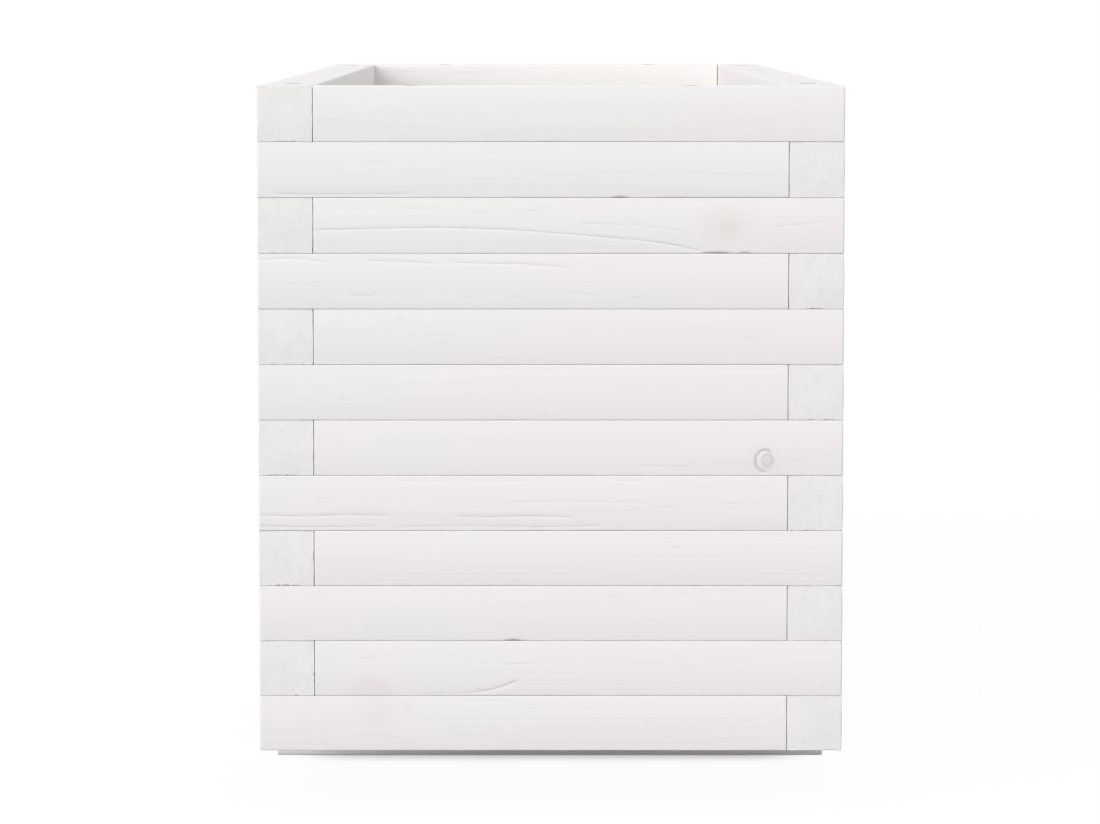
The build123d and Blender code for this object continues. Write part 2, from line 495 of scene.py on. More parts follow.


# Marks of the front batten of each course, read from the photograph; the darkest lines along the
# lower edge over the chipped stretches are painted shade.
FRONT_MARKS: dict[int, tuple[Mark, ...]] = {
    12: (
        line(57, -13.8, 72, -16.8, width=0.6, dark=0.25),
        line(66, -12.6, 73, -13.6, width=0.5, dark=0.2),
    ),
    11: (
        line(-186, -16.2, -140, -16.6, -96, -16.0, width=0.6, dark=0.6, depth=0.25),
        line(-124, 5.4, -110, 5.2, width=0.5, dark=0.25),
        line(-38, 11.4, -28, 10.9, width=0.5, dark=0.25),
        wane(47.8, 4.5, Edge.BOTTOM, 1.2),
        # Painted shade: a dark line along the chipped lower edge, where the joint shows in shadow.
        line(43, -18.6, 52, -18.6, width=0.7, dark=1.0, depth=0.3),
        wane(84, 9, Edge.BOTTOM, 0.6),
    ),
    10: (
        line(-161, -2.9, -120, -1.9, -83, -1.3, -40, -2.2, -1, -4.6, 34, -7.4, 75, -11.7,
             103, -17.6, width=0.65, dark=0.7, depth=0.3),
        line(20, 1.6, 55, 0.2, 90, -3.4, width=0.6, dark=0.35),
        line(105, -4.0, 110, -8.0, width=0.9, dark=0.35, depth=0.05),
        line(131, -18.0, 141, -10, 152, -1.4, width=0.8, dark=0.3, depth=0.08),
        # Painted shade: dark lines along the chipped lower edge, where the joint shows in shadow.
        line(104, -18.5, 112, -18.7, 121, -18.5, width=0.7, dark=1.2, depth=0.3),
        line(129, -18.6, 136, -18.6, width=0.7, dark=1.2, depth=0.3),
        line(152, -1.2, 172, 1.2, 189, 2.9, width=0.7, dark=0.3),
        line(-98, 11.7, -82, 11.3, width=0.6, dark=0.4),
        line(-55, 9.2, -43, 8.6, width=0.6, dark=0.45, depth=0.2),
        line(-27, 8.4, -18, 8.0, width=0.5, dark=0.3),
        line(-17, 10.4, -8, 9.8, width=0.6, dark=0.4, depth=0.2),
        line(48, 3.2, 62, 2.2, width=0.5, dark=0.3),
        knot(119.5, 0.5, 7.5, stretch=1.4, ring=0.0, heart=0.17, blush=0.55, relief=0.04 * MM,
             ragged=3.0),
        wane(112, 9, Edge.BOTTOM, 1.3),
        wane(132.5, 4, Edge.BOTTOM, 1.1),
    ),
    9: (
        line(-199, 14.6, -176, 15.6, -152, 13.0, width=0.7, dark=0.35, depth=0.2),
        line(-127, 14.4, -100, 13.6, -79, 12.4, width=0.7, dark=0.5, depth=0.25),
        line(-68, 13.0, -40, 12.2, -8, 11.2, 12, 9.4, width=0.7, dark=0.4, depth=0.25),
        line(-172, -3.0, -157, -3.1, width=0.6, dark=0.5),
        line(-139, -8.0, -128, -9.8, -118, -8.6, width=0.8, dark=0.5, depth=0.2),
        line(-62, -10.6, -48, -11.6, width=0.7, dark=0.35),
        line(-26, -10.8, -18, -11.2, width=0.7, dark=0.4),
        line(12, -8.0, 30, -8.9, width=0.6, dark=0.4),
        line(58, -10.9, 66, -11.3, width=0.6, dark=0.4),
    ),
    8: (
        knot(-103, 13.1, 4.2, ring=0.0, heart=0.16, blush=0.08, relief=0.03 * MM, ragged=1.8),
        line(57, 5.8, 64, 5.5, width=0.5, dark=0.3),
    ),
    7: (
        line(-144, -4.4, -136, -5.4, width=0.7, dark=0.45),
        line(-118, 5.2, -112, 5.1, width=0.5, dark=0.3),
        line(2, -1.4, 8, -1.9, width=0.5, dark=0.3),
    ),
    6: (
        knot(146.7, -9.0, 7.4, stretch=0.88, ring=0.75, heart=0.55, blush=0.3, relief=0.3 * MM),
        line(156, -8.0, 164, -8.4, 172, -8.2, width=1.2, dark=0.3),
        line(60, -12.5, 96, -13.0, width=0.5, dark=0.2),
    ),
    5: (
        line(-198, -8.1, -170, -8.9, -142, -8.0, -112, -8.6, width=0.8, dark=0.5, depth=0.25),
        line(-66, -8.9, -40, -9.2, -12, -8.8, 14, -9.4, width=0.8, dark=0.6, depth=0.25),
        line(-200, -15.6, -160, -16.2, -118, -15.8, width=0.7, dark=0.5, depth=0.2),
        line(-106, -16.2, -60, -15.7, -10, -16.2, 34, -15.4, width=0.7, dark=0.45, depth=0.2),
        line(-160, 1.0, -152, 0.9, width=0.6, dark=0.4),
        line(-28, 0.6, 30, 0.9, 66, 0.2, width=0.6, dark=0.25),
        line(-110, 15.4, -60, 15.0, -16, 15.3, width=0.6, dark=0.4),
        line(44, 15.4, 64, 15.0, width=0.6, dark=0.35),
        line(74, -2.8, 86, -3.4, width=0.6, dark=0.5),
        line(96, -11.8, 101, -12.2, width=0.6, dark=0.35),
        line(121, 0.1, 128, -0.2, width=0.6, dark=0.45),
    ),
    4: (
        line(80, 7.8, 89, 7.3, width=0.6, dark=0.45),
        line(77, 13.8, 84, 13.6, width=0.5, dark=0.35),
        line(143, 15.7, 162, 15.6, width=0.6, dark=0.35),
    ),
    3: (
        wane(-25.5, 5, Edge.BOTTOM, 1.1),
        # Painted shade: a dark line along the chipped lower edge, where the joint shows in shadow.
        line(-31, -18.6, -20, -18.6, width=0.7, dark=1.0, depth=0.3),
        line(60, -5, 72, -5.5, width=0.5, dark=0.2),
    ),
    2: (
        line(-52, -16.4, -44, -15.2, -34, -12.6, -23, -8.6, width=0.85, dark=0.8, depth=0.35),
        line(-22.6, -8.4, -19.4, -5.2, width=0.8, dark=0.4, depth=0.1),
        line(-110, -17.2, -78, -17.4, -50, -16.6, width=0.6, dark=0.4),
        line(-31, 2.6, -14, 3.2, width=0.7, dark=0.35, depth=0.2),
        line(-20.2, 13.6, -18.8, 5, width=1.4, dark=0.2, depth=0.05),
        line(-98, 3.4, -92, 3.0, width=0.6, dark=0.4),
        line(-50, 3.6, -44, 3.4, width=0.6, dark=0.35),
        knot(-124, -16.5, 6.5, stretch=1.5, ring=0.0, heart=0.04, blush=0.5, relief=0.03 * MM,
             ragged=3.0),
    ),
    1: (
        knot(-119, 9.5, 8.0, stretch=1.3, ring=0.0, heart=0.06, blush=0.35, relief=0.03 * MM,
             ragged=3.0),
        knot(-99, 13.0, 4.0, stretch=1.3, ring=0.0, heart=0.12, blush=0.2, relief=0.03 * MM,
             ragged=2.0),
        line(-60, 14.4, -50, 15.0, -30, 15.6, width=0.7, dark=0.3),
        line(-112, 2.2, -104, 0.4, width=0.7, dark=0.3),
    ),
}

# Warmth and chill of the front batten of each course
FRONT_TINTS: dict[int, tuple[float, float]] = {
    12: (0.05, 0.2), 11: (-0.2, 0.4), 10: (-0.08, -0.1), 9: (-0.04, -0.1), 8: (-0.02, -0.1),
    7: (-0.03, -0.1), 6: (0.12, -0.1), 5: (0.07, -0.1), 4: (0.10, -0.1), 3: (0.08, 0.02),
    2: (0.01, 0.0), 1: (0.06, -0.1),
}

# Primes that stir a cell's place and a seed into a number that looks random
COLUMN_PRIME, ROW_PRIME, SEED_PRIME, STIR_PRIME = 374761393, 668265263, 974711, 1274126177
LOW_32_BITS, LOW_16_BITS = 0xFFFFFFFF, 0xFFFF


def wander(u: np.ndarray, v: np.ndarray, seed: int) -> np.ndarray:
    """Smooth random heights over a plane.

    Args:
        u: First coordinate, in cells.
        v: Second coordinate, in cells.
        seed: Picks the pattern.

    Returns:
        Heights from -1 to 1, as many as there are places.
    """
    column, row = np.floor(u).astype(np.int64), np.floor(v).astype(np.int64)
    x, y = u - column, v - row
    x, y = x * x * (3 - 2 * x), y * y * (3 - 2 * y)

    def height(across: int, up: int) -> np.ndarray:
        """Random height of the cell corner this far from the lower left one."""
        mixed = (column + across) * COLUMN_PRIME + (row + up) * ROW_PRIME + seed * SEED_PRIME
        mixed = mixed & LOW_32_BITS
        mixed = ((mixed ^ (mixed >> 13)) * STIR_PRIME) & LOW_32_BITS
        return ((mixed ^ (mixed >> 16)) & LOW_16_BITS) / (LOW_16_BITS / 2) - 1

    low = height(0, 0) * (1 - x) + height(1, 0) * x
    high = height(0, 1) * (1 - x) + height(1, 1) * x
    return low * (1 - y) + high * y


def new_material(name: str) -> tuple[bpy.types.Material, Shader]:
    """Makes a material with an empty node tree."""
    material = bpy.data.materials.new(name)
    material.use_nodes = True
    return material, Shader(material.node_tree)


def finish_surface(shader: Shader, colour: Signal, roughness: Number, height: Signal,
                   **constants: float) -> None:
    """Adds the surface shader and the output.

    Args:
        shader: The shader to finish.
        colour: Base colour.
        roughness: Roughness.
        height: Height of the surface in metres, for its bump.
        **constants: Further sockets, set directly.
    """
    normal = shader.signal("Bump", 0, Height=height, Distance=1.0, Strength=1.0)
    surface = shader.signal(
        "BsdfPrincipled", 0, Base_Color=colour, Roughness=roughness, Normal=normal, **constants
    )
    shader.node("OutputMaterial", Surface=surface)


@dataclass(frozen=True)
class WhiteStain:
    """Opaque white stain on the long faces of planed softwood, with its figure showing faintly.

    Attributes:
        colour: Colour of the stain over pale wood.
        warm: Colour where the wood reddens it.
        cool: Colour where the coat is thick.
        shade: Colour in the hollows of the grain, and of the painted shade lines along chipped
            edges.
        blush: Colour around a knot.
        warmth: Added to how readily the warm colour shows.
        chill: Added to how readily the cool colour shows.
        figure: Strength of the growth rings.
        streaks: Strength of the fine grain.
        pores: Strength of the short dark pores.
        swell: How far each side face falls away from its middle to its edges, as bump.
        half_height: Half height of the timber.
        flat: True where the wide faces are the top and the underside.
    """

    colour: Colour = (0.843, 0.827, 0.8155)
    warm: Colour = (0.855, 0.8175, 0.8125)
    cool: Colour = (0.841, 0.823, 0.826)
    shade: Colour = (0.40, 0.365, 0.345)
    blush: Colour = (0.77, 0.68, 0.675)
    warmth: float = 0.0
    chill: float = 0.0
    figure: float = 1.0
    streaks: float = 1.0
    pores: float = 1.0
    swell: float = 0.75 * MM
    half_height: float = 19 * MM
    flat: bool = False

    def material(self, name: str, marks: Sequence[Mark] = ()) -> bpy.types.Material:
        """Makes the material.

        Args:
            name: Name of the material.
            marks: Marks of the outer face. Without any, knots and grain lines are scattered.

        Returns:
            The material.
        """
        material, shader = new_material(name)
        along, out, up = shader.parts(shader.attribute("wood"))
        if self.flat:
            out, up = up, out
        here, _, high = shader.parts(shader.attribute("place"))
        bent = up
        for mark in marks:
            if isinstance(mark, Knot):
                bent = bent - mark.bend(shader, here, high)
        streak = shader.noise(shader.joined(along * 7, out * 330, bent * 330), 3, 0.6)
        drift = shader.noise(shader.joined(along * 2.2, out * 22, bent * 22), 2)
        latewood = self.growth_rings(shader, along, out, up, bent)
        dash = shader.noise(shader.joined(along * 55, out * 700, bent * 700), 1)
        dash = shader.ramp(dash, 0.74, 0.80) * self.pores
        level = high / self.half_height
        coat = Coat(
            shader, here, high,
            colour=shader.tinted(self.tint(shader, here, out, bent), drift * 0.02 + 0.99),
            dark=latewood * 0.035 + dash * 0.12
            + shader.ramp(streak, 0.35, 0.75) * (0.016 * self.streaks),
            height=streak * (0.045 * MM * self.streaks) - dash * (0.05 * MM)
            + latewood * (0.02 * MM) - level * level * self.swell,
        )
        if not marks:
            self.scatter_marks(coat, along, out, bent)
        for mark in marks:
            if not isinstance(mark, Wane):
                mark.paint(coat, self.blush)
        colour = shader.blend(coat.dark.at_most(1.0), coat.colour, (*self.shade, 1.0))
        finish_surface(
            shader, colour, streak * 0.12 + 0.56 + dash * 0.1, coat.height, Specular_IOR_Level=0.15
        )
        return material

    def tint(self, shader: Shader, along: Signal, out: Signal, up: Signal) -> Signal:
        """The stain's colour, which drifts and warms toward the right or the back."""
        slow = shader.noise(shader.joined(along * 4, out * 12, up * 12), 1)
        lean = shader.ramp(along, -250 * MM, 250 * MM, -0.13, 0.13)
        slow = slow * 0.5 + lean + (self.warmth + 0.25)
        other = shader.noise(shader.joined(along * 4 + 50, out * 12, up * 12), 1) + self.chill
        warm = shader.blend(shader.ramp(slow, 0.44, 0.53), (*self.colour, 1.0), (*self.warm, 1.0))
        return shader.blend(shader.ramp(other, 0.54, 0.72), warm, (*self.cool, 1.0))

    def growth_rings(self, shader: Shader, along: Signal, out: Signal, up: Signal,
                     bent: Signal) -> Signal:
        """1 on the latewood of each growth ring, where it shows through."""
        warp = shader.noise(shader.joined(along * 1.6, out * 9, up * 9), 1)
        ring = (out * out + bent * bent).root() / RING_SPACING + warp * 4.5
        phase = shader.math("FRACT", ring)
        latewood = shader.ramp(phase, 0.55, 0.93) * shader.ramp(phase, 1.0, 0.95)
        shown = shader.noise(shader.joined(along * 3, out * 30, bent * 30), 1)
        return latewood * shader.ramp(shown, 0.42, 0.66) * self.figure

    def scatter_marks(self, coat: Coat, along: Signal, out: Signal, up: Signal) -> None:
        """Scatters knots and raised grain lines over a coat.

        Args:
            coat: The coat, which is changed.
            along: Place along the tree.
            out: Place across it.
            up: Height in it, bent round knots.
        """
        shader = coat.shader
        spacing = (220 * MM, 60 * MM)
        cell = shader.joined(along / spacing[0], up / spacing[1], 0.0)
        cells = shader.node(
            "TexVoronoi", {"voronoi_dimensions": "2D"}, Vector=cell, Scale=1.0, Randomness=0.8
        )
        seat = shader.parts(Signal(shader, cells.outputs["Position"]))
        chance, other, _ = shader.parts(Signal(shader, cells.outputs["Color"]))
        radius = other * (6.5 * MM) + 2.0 * MM
        x = (along - seat[0] * spacing[0]) / (radius * 1.2)
        y = (up - seat[1] * spacing[1]) / radius
        wobble = shader.noise(shader.joined(along * 260, out * 260, up * 260), 2) * 0.4 - 0.2
        span = (x * x + y * y).root() + wobble
        there = shader.ramp(chance, 0.30, 0.32, 1.0, 0.0)
        bark = shader.ramp((span - 1.0).size(), 0.26, 0.03) * there
        heart = shader.ramp(span, 0.9, 0.6) * there
        around = shader.ramp(span, 2.2, 0.6)
        rings = shader.math("SINE", span * 20.0) * 0.5 + 0.5
        split = shader.noise(shader.joined(along * 10, out * 330, up * 330), 1)
        split = shader.ramp(split, 0.73, 0.80)
        coat.colour = shader.blend(around * there * 0.28, coat.colour, (*self.blush, 1.0))
        coat.dark = coat.dark + bark * 0.2 + heart * (rings * 0.06 + 0.06) + split * 0.12
        coat.height = coat.height - bark * (0.15 * MM) - split * (0.12 * MM)


@dataclass(frozen=True)
class SawnEnd:
    """White stain soaked into sawn end grain, greyer and mottled, with faint growth rings, and
    painted shade that makes it lighter toward the top and darker toward the bottom.

    Attributes:
        colour: Colour of the stain.
        shade: Colour in the pores and saw marks.
    """

    colour: Colour = (0.832, 0.812, 0.798)
    shade: Colour = (0.44, 0.41, 0.39)

    def material(self, name: str) -> bpy.types.Material:
        """Makes the material.

        Args:
            name: Name of the material.

        Returns:
            The material.
        """
        material, shader = new_material(name)
        wood = shader.attribute("wood")
        _, out, up = shader.parts(wood)
        fine = shader.noise(shader.vector_math("MULTIPLY", wood, (0.0, 520.0, 520.0)), 4, 0.65)
        blots = shader.noise(shader.vector_math("MULTIPLY", wood, (0.0, 160.0, 160.0)), 3, 0.6)
        cloud = shader.noise(shader.vector_math("MULTIPLY", wood, (0.0, 45.0, 45.0)), 2)
        lean = out * 0.8 + up
        saw = shader.noise(shader.joined(lean * 700, (out - up * 0.8) * 80, 0.0), 2, 0.55)
        warp = shader.noise(shader.vector_math("MULTIPLY", wood, (0.0, 60.0, 60.0)), 1)
        ring = (out * out + up * up).root() / RING_SPACING + warp * 0.8
        phase = shader.math("FRACT", ring)
        latewood = shader.ramp(phase, 0.45, 0.9) * shader.ramp(phase, 1.0, 0.92)
        latewood = latewood * shader.ramp(blots, 0.35, 0.6)
        dark = latewood * 0.03 + shader.ramp(fine, 0.5, 0.8) * 0.09
        dark = dark + shader.ramp(blots, 0.5, 0.75) * 0.08 + shader.ramp(saw, 0.55, 0.8) * 0.04
        _, _, high = shader.parts(shader.attribute("place"))
        # Painted shade: the end grain's colour is lighter toward the top and darker toward the
        # bottom, as light from above falls on it.
        colour = shader.tinted(self.colour, cloud * 0.11 + high * 1.2 + 0.94)
        colour = shader.blend(dark, colour, (*self.shade, 1.0))
        height = fine * (-0.12 * MM) - saw * (0.06 * MM) - blots * (0.25 * MM)
        height = height + latewood * (0.03 * MM)
        finish_surface(shader, colour, fine * 0.1 + 0.62, height, Specular_IOR_Level=0.25)
        return material


@dataclass(frozen=True)
class ShadedBoreWood:
    """Bare wood inside a screw recess, far darker than bare pine as painted shade in the recess.

    Attributes:
        colour: Colour of the bare wood, darkened as painted shade. shade: Colour of the scorched
            turns that the drill left, darkened likewise as painted shade.
        shade: Colour of the scorched turns that the drill left.
    """

    # Both colours are painted shade over bare wood: far darker than bare pine, so the recess reads
    # as shadowed.
    colour: Colour = (0.20, 0.155, 0.115)
    shade: Colour = (0.06, 0.045, 0.035)

    def material(self, name: str) -> bpy.types.Material:
        """Makes the material.

        Args:
            name: Name of the material.

        Returns:
            The material.
        """
        material, shader = new_material(name)
        _, _, up = shader.parts(shader.attribute("place"))
        turns = shader.noise(shader.joined(0.0, 0.0, up * 2400), 1)
        fibres = shader.noise(
            shader.vector_math("MULTIPLY", shader.attribute("wood"), (900.0, 900.0, 900.0)), 3
        )
        dark = shader.ramp(turns, 0.4, 0.7) * 0.4 + shader.ramp(fibres, 0.4, 0.7) * 0.3
        colour = shader.blend(dark, (*self.colour, 1.0), (*self.shade, 1.0))
        finish_surface(shader, colour, fibres * 0.2 + 0.7, turns * (-0.1 * MM))
        return material


@dataclass(frozen=True)
class TimberFinish:
    """The three finishes of a timber.

    Attributes:
        stain: Finish of the long faces.
        sawn: Finish of the sawn ends.
        bored: Finish inside the screw seats.
    """

    stain: WhiteStain = WhiteStain()
    sawn: SawnEnd = SawnEnd()
    bored: ShadedBoreWood = ShadedBoreWood()

    def materials(self, kind: str) -> tuple[bpy.types.Material, ...]:
        """Makes the materials of a kind of timber, in the order of their slots."""
        return (
            self.stain.material(f"white_stain_{kind}"),
            self.sawn.material(f"white_sawn_{kind}_end"),
            self.bored.material(f"bored_{kind}"),
        )


@dataclass(frozen=True)
class ZincPlate:
    """Dull zinc plate on the screws, with a little white bloom.

    Attributes:
        colour: Colour of the clean plate.
        bloom: Colour of the oxide.
    """

    colour: Colour = (0.56, 0.56, 0.545)
    bloom: Colour = (0.70, 0.70, 0.69)

    def material(self, name: str) -> bpy.types.Material:
        """Makes the material.

        Args:
            name: Name of the material.

        Returns:
            The material.
        """
        material, shader = new_material(name)
        place = shader.signal("TexCoord", "Object")
        cloud = shader.noise(shader.vector_math("MULTIPLY", place, (300.0, 300.0, 300.0)), 3)
        marks = shader.noise(shader.vector_math("MULTIPLY", place, (2500.0, 400.0, 900.0)), 2)
        colour = shader.blend(shader.ramp(cloud, 0.4, 0.7), (*self.colour, 1.0), (*self.bloom, 1.0))
        roughness = cloud * 0.2 + marks * 0.15 + 0.3
        finish_surface(shader, colour, roughness, marks * (0.01 * MM), Metallic=0.9)
        return material


@dataclass(frozen=True)
class ScrewSeats:
    """Screw seats, each a round recess with a cone under it, cut out of a timber.

    Attributes:
        places: (x, y) of each screw.
        face: Height of the face that they are cut into.
        turned: True where they are cut upward from the underside.
        recess: Radius and depth of the recess over the head, or None where it is flush.
        seat: Radius of the cone's mouth.
        hole: Radius of the hole under the cone.
        sides: Sides of the round shapes.
        slot: Place of the bored wood among the timber's materials.
    """

    places: tuple[tuple[float, float], ...]
    face: float
    turned: bool = False
    recess: tuple[float, float] | None = (6.0 * MM, 6.0 * MM)
    seat: float = 4.95 * MM
    hole: float = 2.65 * MM
    sides: int = 48
    slot: int = 2

    def profile(self) -> list[tuple[float, float]]:
        """(radius, depth) points from above the face down to the end of the hole."""
        over, ease = 2.0 * MM, 0.35 * MM
        points = []
        base = 0.0
        if self.recess is not None:
            radius, base = self.recess
            points += [(radius + ease + over, -over), (radius, ease)]
            points += [(radius, base), (self.seat, base)]
        else:
            points += [(self.seat + over, -over), (self.seat, 0.0)]
        depth = self.seat - self.hole
        points += [(self.hole, base + depth), (self.hole, base + depth + 2 * MM)]
        return points

    def mesh(self) -> bpy.types.Mesh:
        """Closed turned shapes, one at each place."""
        profile = self.profile()
        turn = -1 if self.turned else 1
        verts: list[tuple[float, float, float]] = []
        faces: list[tuple[int, ...]] = []
        angles = [2 * math.pi * k / self.sides for k in range(self.sides)]
        around = list(range(self.sides))
        following = around[1:] + around[:1]
        for x, y in self.places:
            first = len(verts)
            for radius, depth in profile:
                level = self.face - turn * depth
                verts += [
                    (x + radius * math.cos(t), y + radius * math.sin(t), level) for t in angles
                ]
            for ring in range(len(profile) - 1):
                upper = first + ring * self.sides
                lower = upper + self.sides
                faces += [(upper + a, lower + a, lower + b, upper + b)
                          for a, b in zip(around, following)]
            last = first + (len(profile) - 1) * self.sides
            faces += [tuple(first + k for k in around), tuple(last + k for k in reversed(around))]
        made = bpy.data.meshes.new("screw_seats")
        made.from_pydata(verts, [], [face[::-1] for face in faces] if self.turned else faces)
        made.polygons.foreach_set("material_index", [self.slot] * len(faces))
        return made

    def cut(self, piece: bpy.types.Object) -> None:
        """Cuts the seats out of a piece that has its materials.

        Args:
            piece: Mesh object that is changed.
        """
        tool_mesh = self.mesh()
        for material in piece.data.materials:
            tool_mesh.materials.append(material)
        tool = bpy.data.objects.new("screw_seats", tool_mesh)
        bpy.context.scene.collection.objects.link(tool)
        step = piece.modifiers.new("seats", "BOOLEAN")
        step.operation, step.solver, step.object = "DIFFERENCE", "EXACT", tool
        bpy.context.view_layer.update()
        shaped = piece.evaluated_get(bpy.context.evaluated_depsgraph_get())
        cut_mesh = bpy.data.meshes.new_from_object(shaped)
        piece.modifiers.clear()
        old, piece.data = piece.data, cut_mesh
        name = old.name
        bpy.data.meshes.remove(old)
        cut_mesh.name = name
        bpy.data.objects.remove(tool)


@dataclass
class Timber:
    """A length of sawn wood, as a dense mesh inside the box of its CAD node.

    The outline of its section starts at the lower outer corner and runs up the outer face,
    over the top, down the inner face and back along the underside. Values for the four
    faces are given in that order, which is the order of Face.

    Attributes:
        node: CAD node that it stands for.
        slot: Material slot of the record; not used.
        grain: World axis that it runs along.
        outward: Direction of its outer face along the other level axis.
        seed: Picks its figure and its small irregularities.
        arris: Radius of the eased long edges.
        cuts: Points along each face between the corners.
        step: Spacing of the sections along the grain.
        crown: How far each face falls away from its middle to its edges.
        relief: Height of the grain on each face.
        shy: How far each face lies inside the CAD box.
        marks: Knots, grain lines, painted shade lines and worn edges of the outer face.
        fray: Depth of the tear-out at a sawn end that shows on the outside of the bed.
        hidden_fray: Depth of the tear-out at the other sawn ends.
        fray_shares: Share of that depth on each face.
        end_crown: How far a sawn end falls away from its middle to its edges.
        bevel: Size of the eased rim of a sawn end on each face, where the end shows.
        inner_bevel: Size of the eased rim of the other sawn ends on the inner face.
        corner_points: Points round each long edge.
        cap_rings: Size of each ring of points over a sawn end, as a share of its rim.
        end_steps: Distances of the closer sections from the sawn end.
    """

    node: str
    slot: str
    grain: int
    outward: int
    seed: int
    arris: float = 0.65 * MM
    cuts: tuple[int, int, int, int] = (20, 8, 14, 8)
    step: float = 10 * MM
    crown: tuple[float, float, float, float] = (0.4 * MM, 0.0, 0.1 * MM, 0.0)
    relief: tuple[float, float, float, float] = (0.07 * MM, 0.02 * MM, 0.04 * MM, 0.02 * MM)
    shy: tuple[float, float, float, float] = (0.08 * MM, 0.03 * MM, 0.03 * MM, 0.03 * MM)
    marks: tuple[Mark, ...] = ()
    fray: float = 0.9 * MM
    hidden_fray: float = 0.15 * MM
    fray_shares: tuple[float, float, float, float] = (0.35, 0.5, 0.9, 1.4)
    end_crown: float = 0.35 * MM
    bevel: tuple[float, float, float, float] = (0.6 * MM, 0.12 * MM, 0.06 * MM, 0.4 * MM)
    inner_bevel: float = 0.9 * MM
    corner_points: int = 5
    cap_rings: tuple[float, ...] = (0.985, 0.96, 0.92, 0.86, 0.78, 0.68, 0.56, 0.42, 0.27, 0.12)
    end_steps: tuple[float, ...] = (0.0, 0.7 * MM, 1.5 * MM, 3.0 * MM, 6.0 * MM)

    def __post_init__(self) -> None:
        """Reads the box of the CAD node and picks where it lay in its tree."""
        low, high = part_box(self.node)
        self.low, self.high = np.array(low), np.array(high)
        self.middle = (self.low + self.high) / 2
        half = (self.high - self.low) / 2
        self.level = 1 - self.grain
        self.half_width = float(half[self.level])
        self.half_height = float(half[2])
        chance = random.Random(self.seed)
        pith_out = chance.uniform(20, 70) * MM * chance.choice((-1, 1))
        self.pith = np.array([chance.uniform(2, 60), pith_out, chance.uniform(-45, 45) * MM])

    def shows(self, end: float) -> bool:
        """Whether the sawn end at this place is on the outside of the bed."""
        return abs(abs(end) - cad_bounds[1][self.grain]) < 1 * MM

    def sections(self) -> np.ndarray:
        """Places of the sections along the grain, closer together at the ends."""
        low, high = self.low[self.grain], self.high[self.grain]
        inner = self.end_steps[-1]
        count = max(3, round((high - low - 2 * inner) / self.step))
        body = np.linspace(low + inner, high - inner, count + 1)
        ends = np.array(self.end_steps[:-1])
        return np.concatenate([low + ends, body, high - ends[::-1]])

    def corner_radii(self, along: np.ndarray) -> np.ndarray:
        """Radius of each long edge at each section.

        Args:
            along: Places of the sections.

        Returns:
            One row for each section, with the four corners from the lower outer one on.
        """
        rows = []
        for corner in range(4):
            slow = wander(along / (30 * MM), along * 0, self.seed + corner)
            quick = wander(along / (7 * MM), along * 0, self.seed + 9 + corner)
            rows.append(self.arris * (1 + 0.25 * slow + 0.2 * quick))
        for mark in self.marks:
            if isinstance(mark, Wane):
                rows[mark.edge] = rows[mark.edge] + mark.extra_radius(along)
        return np.stack(rows, 1)

    def outline(self, radii: np.ndarray) -> tuple[np.ndarray, np.ndarray, np.ndarray]:
        """Points of every section, on flat faces.

        Args:
            radii: Corner radii of every section.

        Returns:
            The points, by section, outline point and the two directions outward and up, the
            outward normal of each outline point, and the number of the face it lies on.
        """
        arcs, directions = [], []
        for corner, (out, up) in enumerate(((1, -1), (1, 1), (-1, 1), (-1, -1))):
            radius = radii[:, corner]
            first = math.radians(90 * corner - 90)
            angles = np.linspace(first, first + math.pi / 2, self.corner_points)
            turns = [np.array([math.cos(t), math.sin(t)]) for t in angles]
            centre = np.stack(
                [out * (self.half_width - radius), up * (self.half_height - radius)], 1
            )
            arcs.append([centre + radius[:, None] * turn for turn in turns])
            directions.append(turns)
        columns, normals, faces = [], [], []
        for corner, count in enumerate(self.cuts):
            start, following = arcs[corner][-1], arcs[(corner + 1) % 4][0]
            shares = (np.arange(count) + 1) / (count + 1)
            columns += arcs[corner] + [start * (1 - share) + following * share for share in shares]
            normals += directions[corner] + [directions[corner][-1]] * count
            faces += [corner] * (self.corner_points + count)
        return np.stack(columns, 1), np.array(normals), np.array(faces)

    def surface(self) -> tuple[np.ndarray, np.ndarray]:
        """Points of the long faces.

        Returns:
            Places along the grain, and the points by section, outline point and the two
            directions outward and up.
        """
        along = self.sections()
        points, normals, faces = self.outline(self.corner_radii(along))
        out, up = points[..., 0].copy(), points[..., 1].copy()
        share_out, share_up = out / self.half_width, up / self.half_height
        fall_out = np.where(out > 0, self.crown[Face.OUTER], self.crown[Face.INNER])
        fall_up = np.where(up > 0, self.crown[Face.TOP], self.crown[Face.BOTTOM])
        points[..., 0] -= np.sign(out) * fall_out * share_up**2 * np.abs(share_out) ** 6
        points[..., 1] -= np.sign(up) * fall_up * share_out**2 * np.abs(share_up) ** 6
        girth = self.girth(points[0])
        place = np.broadcast_to(along[:, None], out.shape)
        around = np.broadcast_to(girth[None, :], out.shape)
        long_waves = wander(place / (110 * MM), around / (6 * MM), self.seed + 21)
        grain_waves = wander(place / (45 * MM), around / (2.2 * MM), self.seed + 22)
        height = np.array(self.relief)[faces][None, :]
        sunk = np.array(self.shy)[faces] + height * (1 + 0.6 * long_waves + 0.4 * grain_waves)
        for mark in self.marks:
            if not isinstance(mark, Wane):
                sunk = sunk + np.where(faces == Face.OUTER, mark.sunk(place, up), 0)
        points -= normals[None] * sunk[..., None]
        self.ease_ends(along, points, faces)
        return along, points

    @staticmethod
    def girth(outline: np.ndarray) -> np.ndarray:
        """Distance of each outline point from the first, round the section."""
        return np.cumsum(np.hypot(*np.diff(outline, axis=0, prepend=outline[:1]).T))

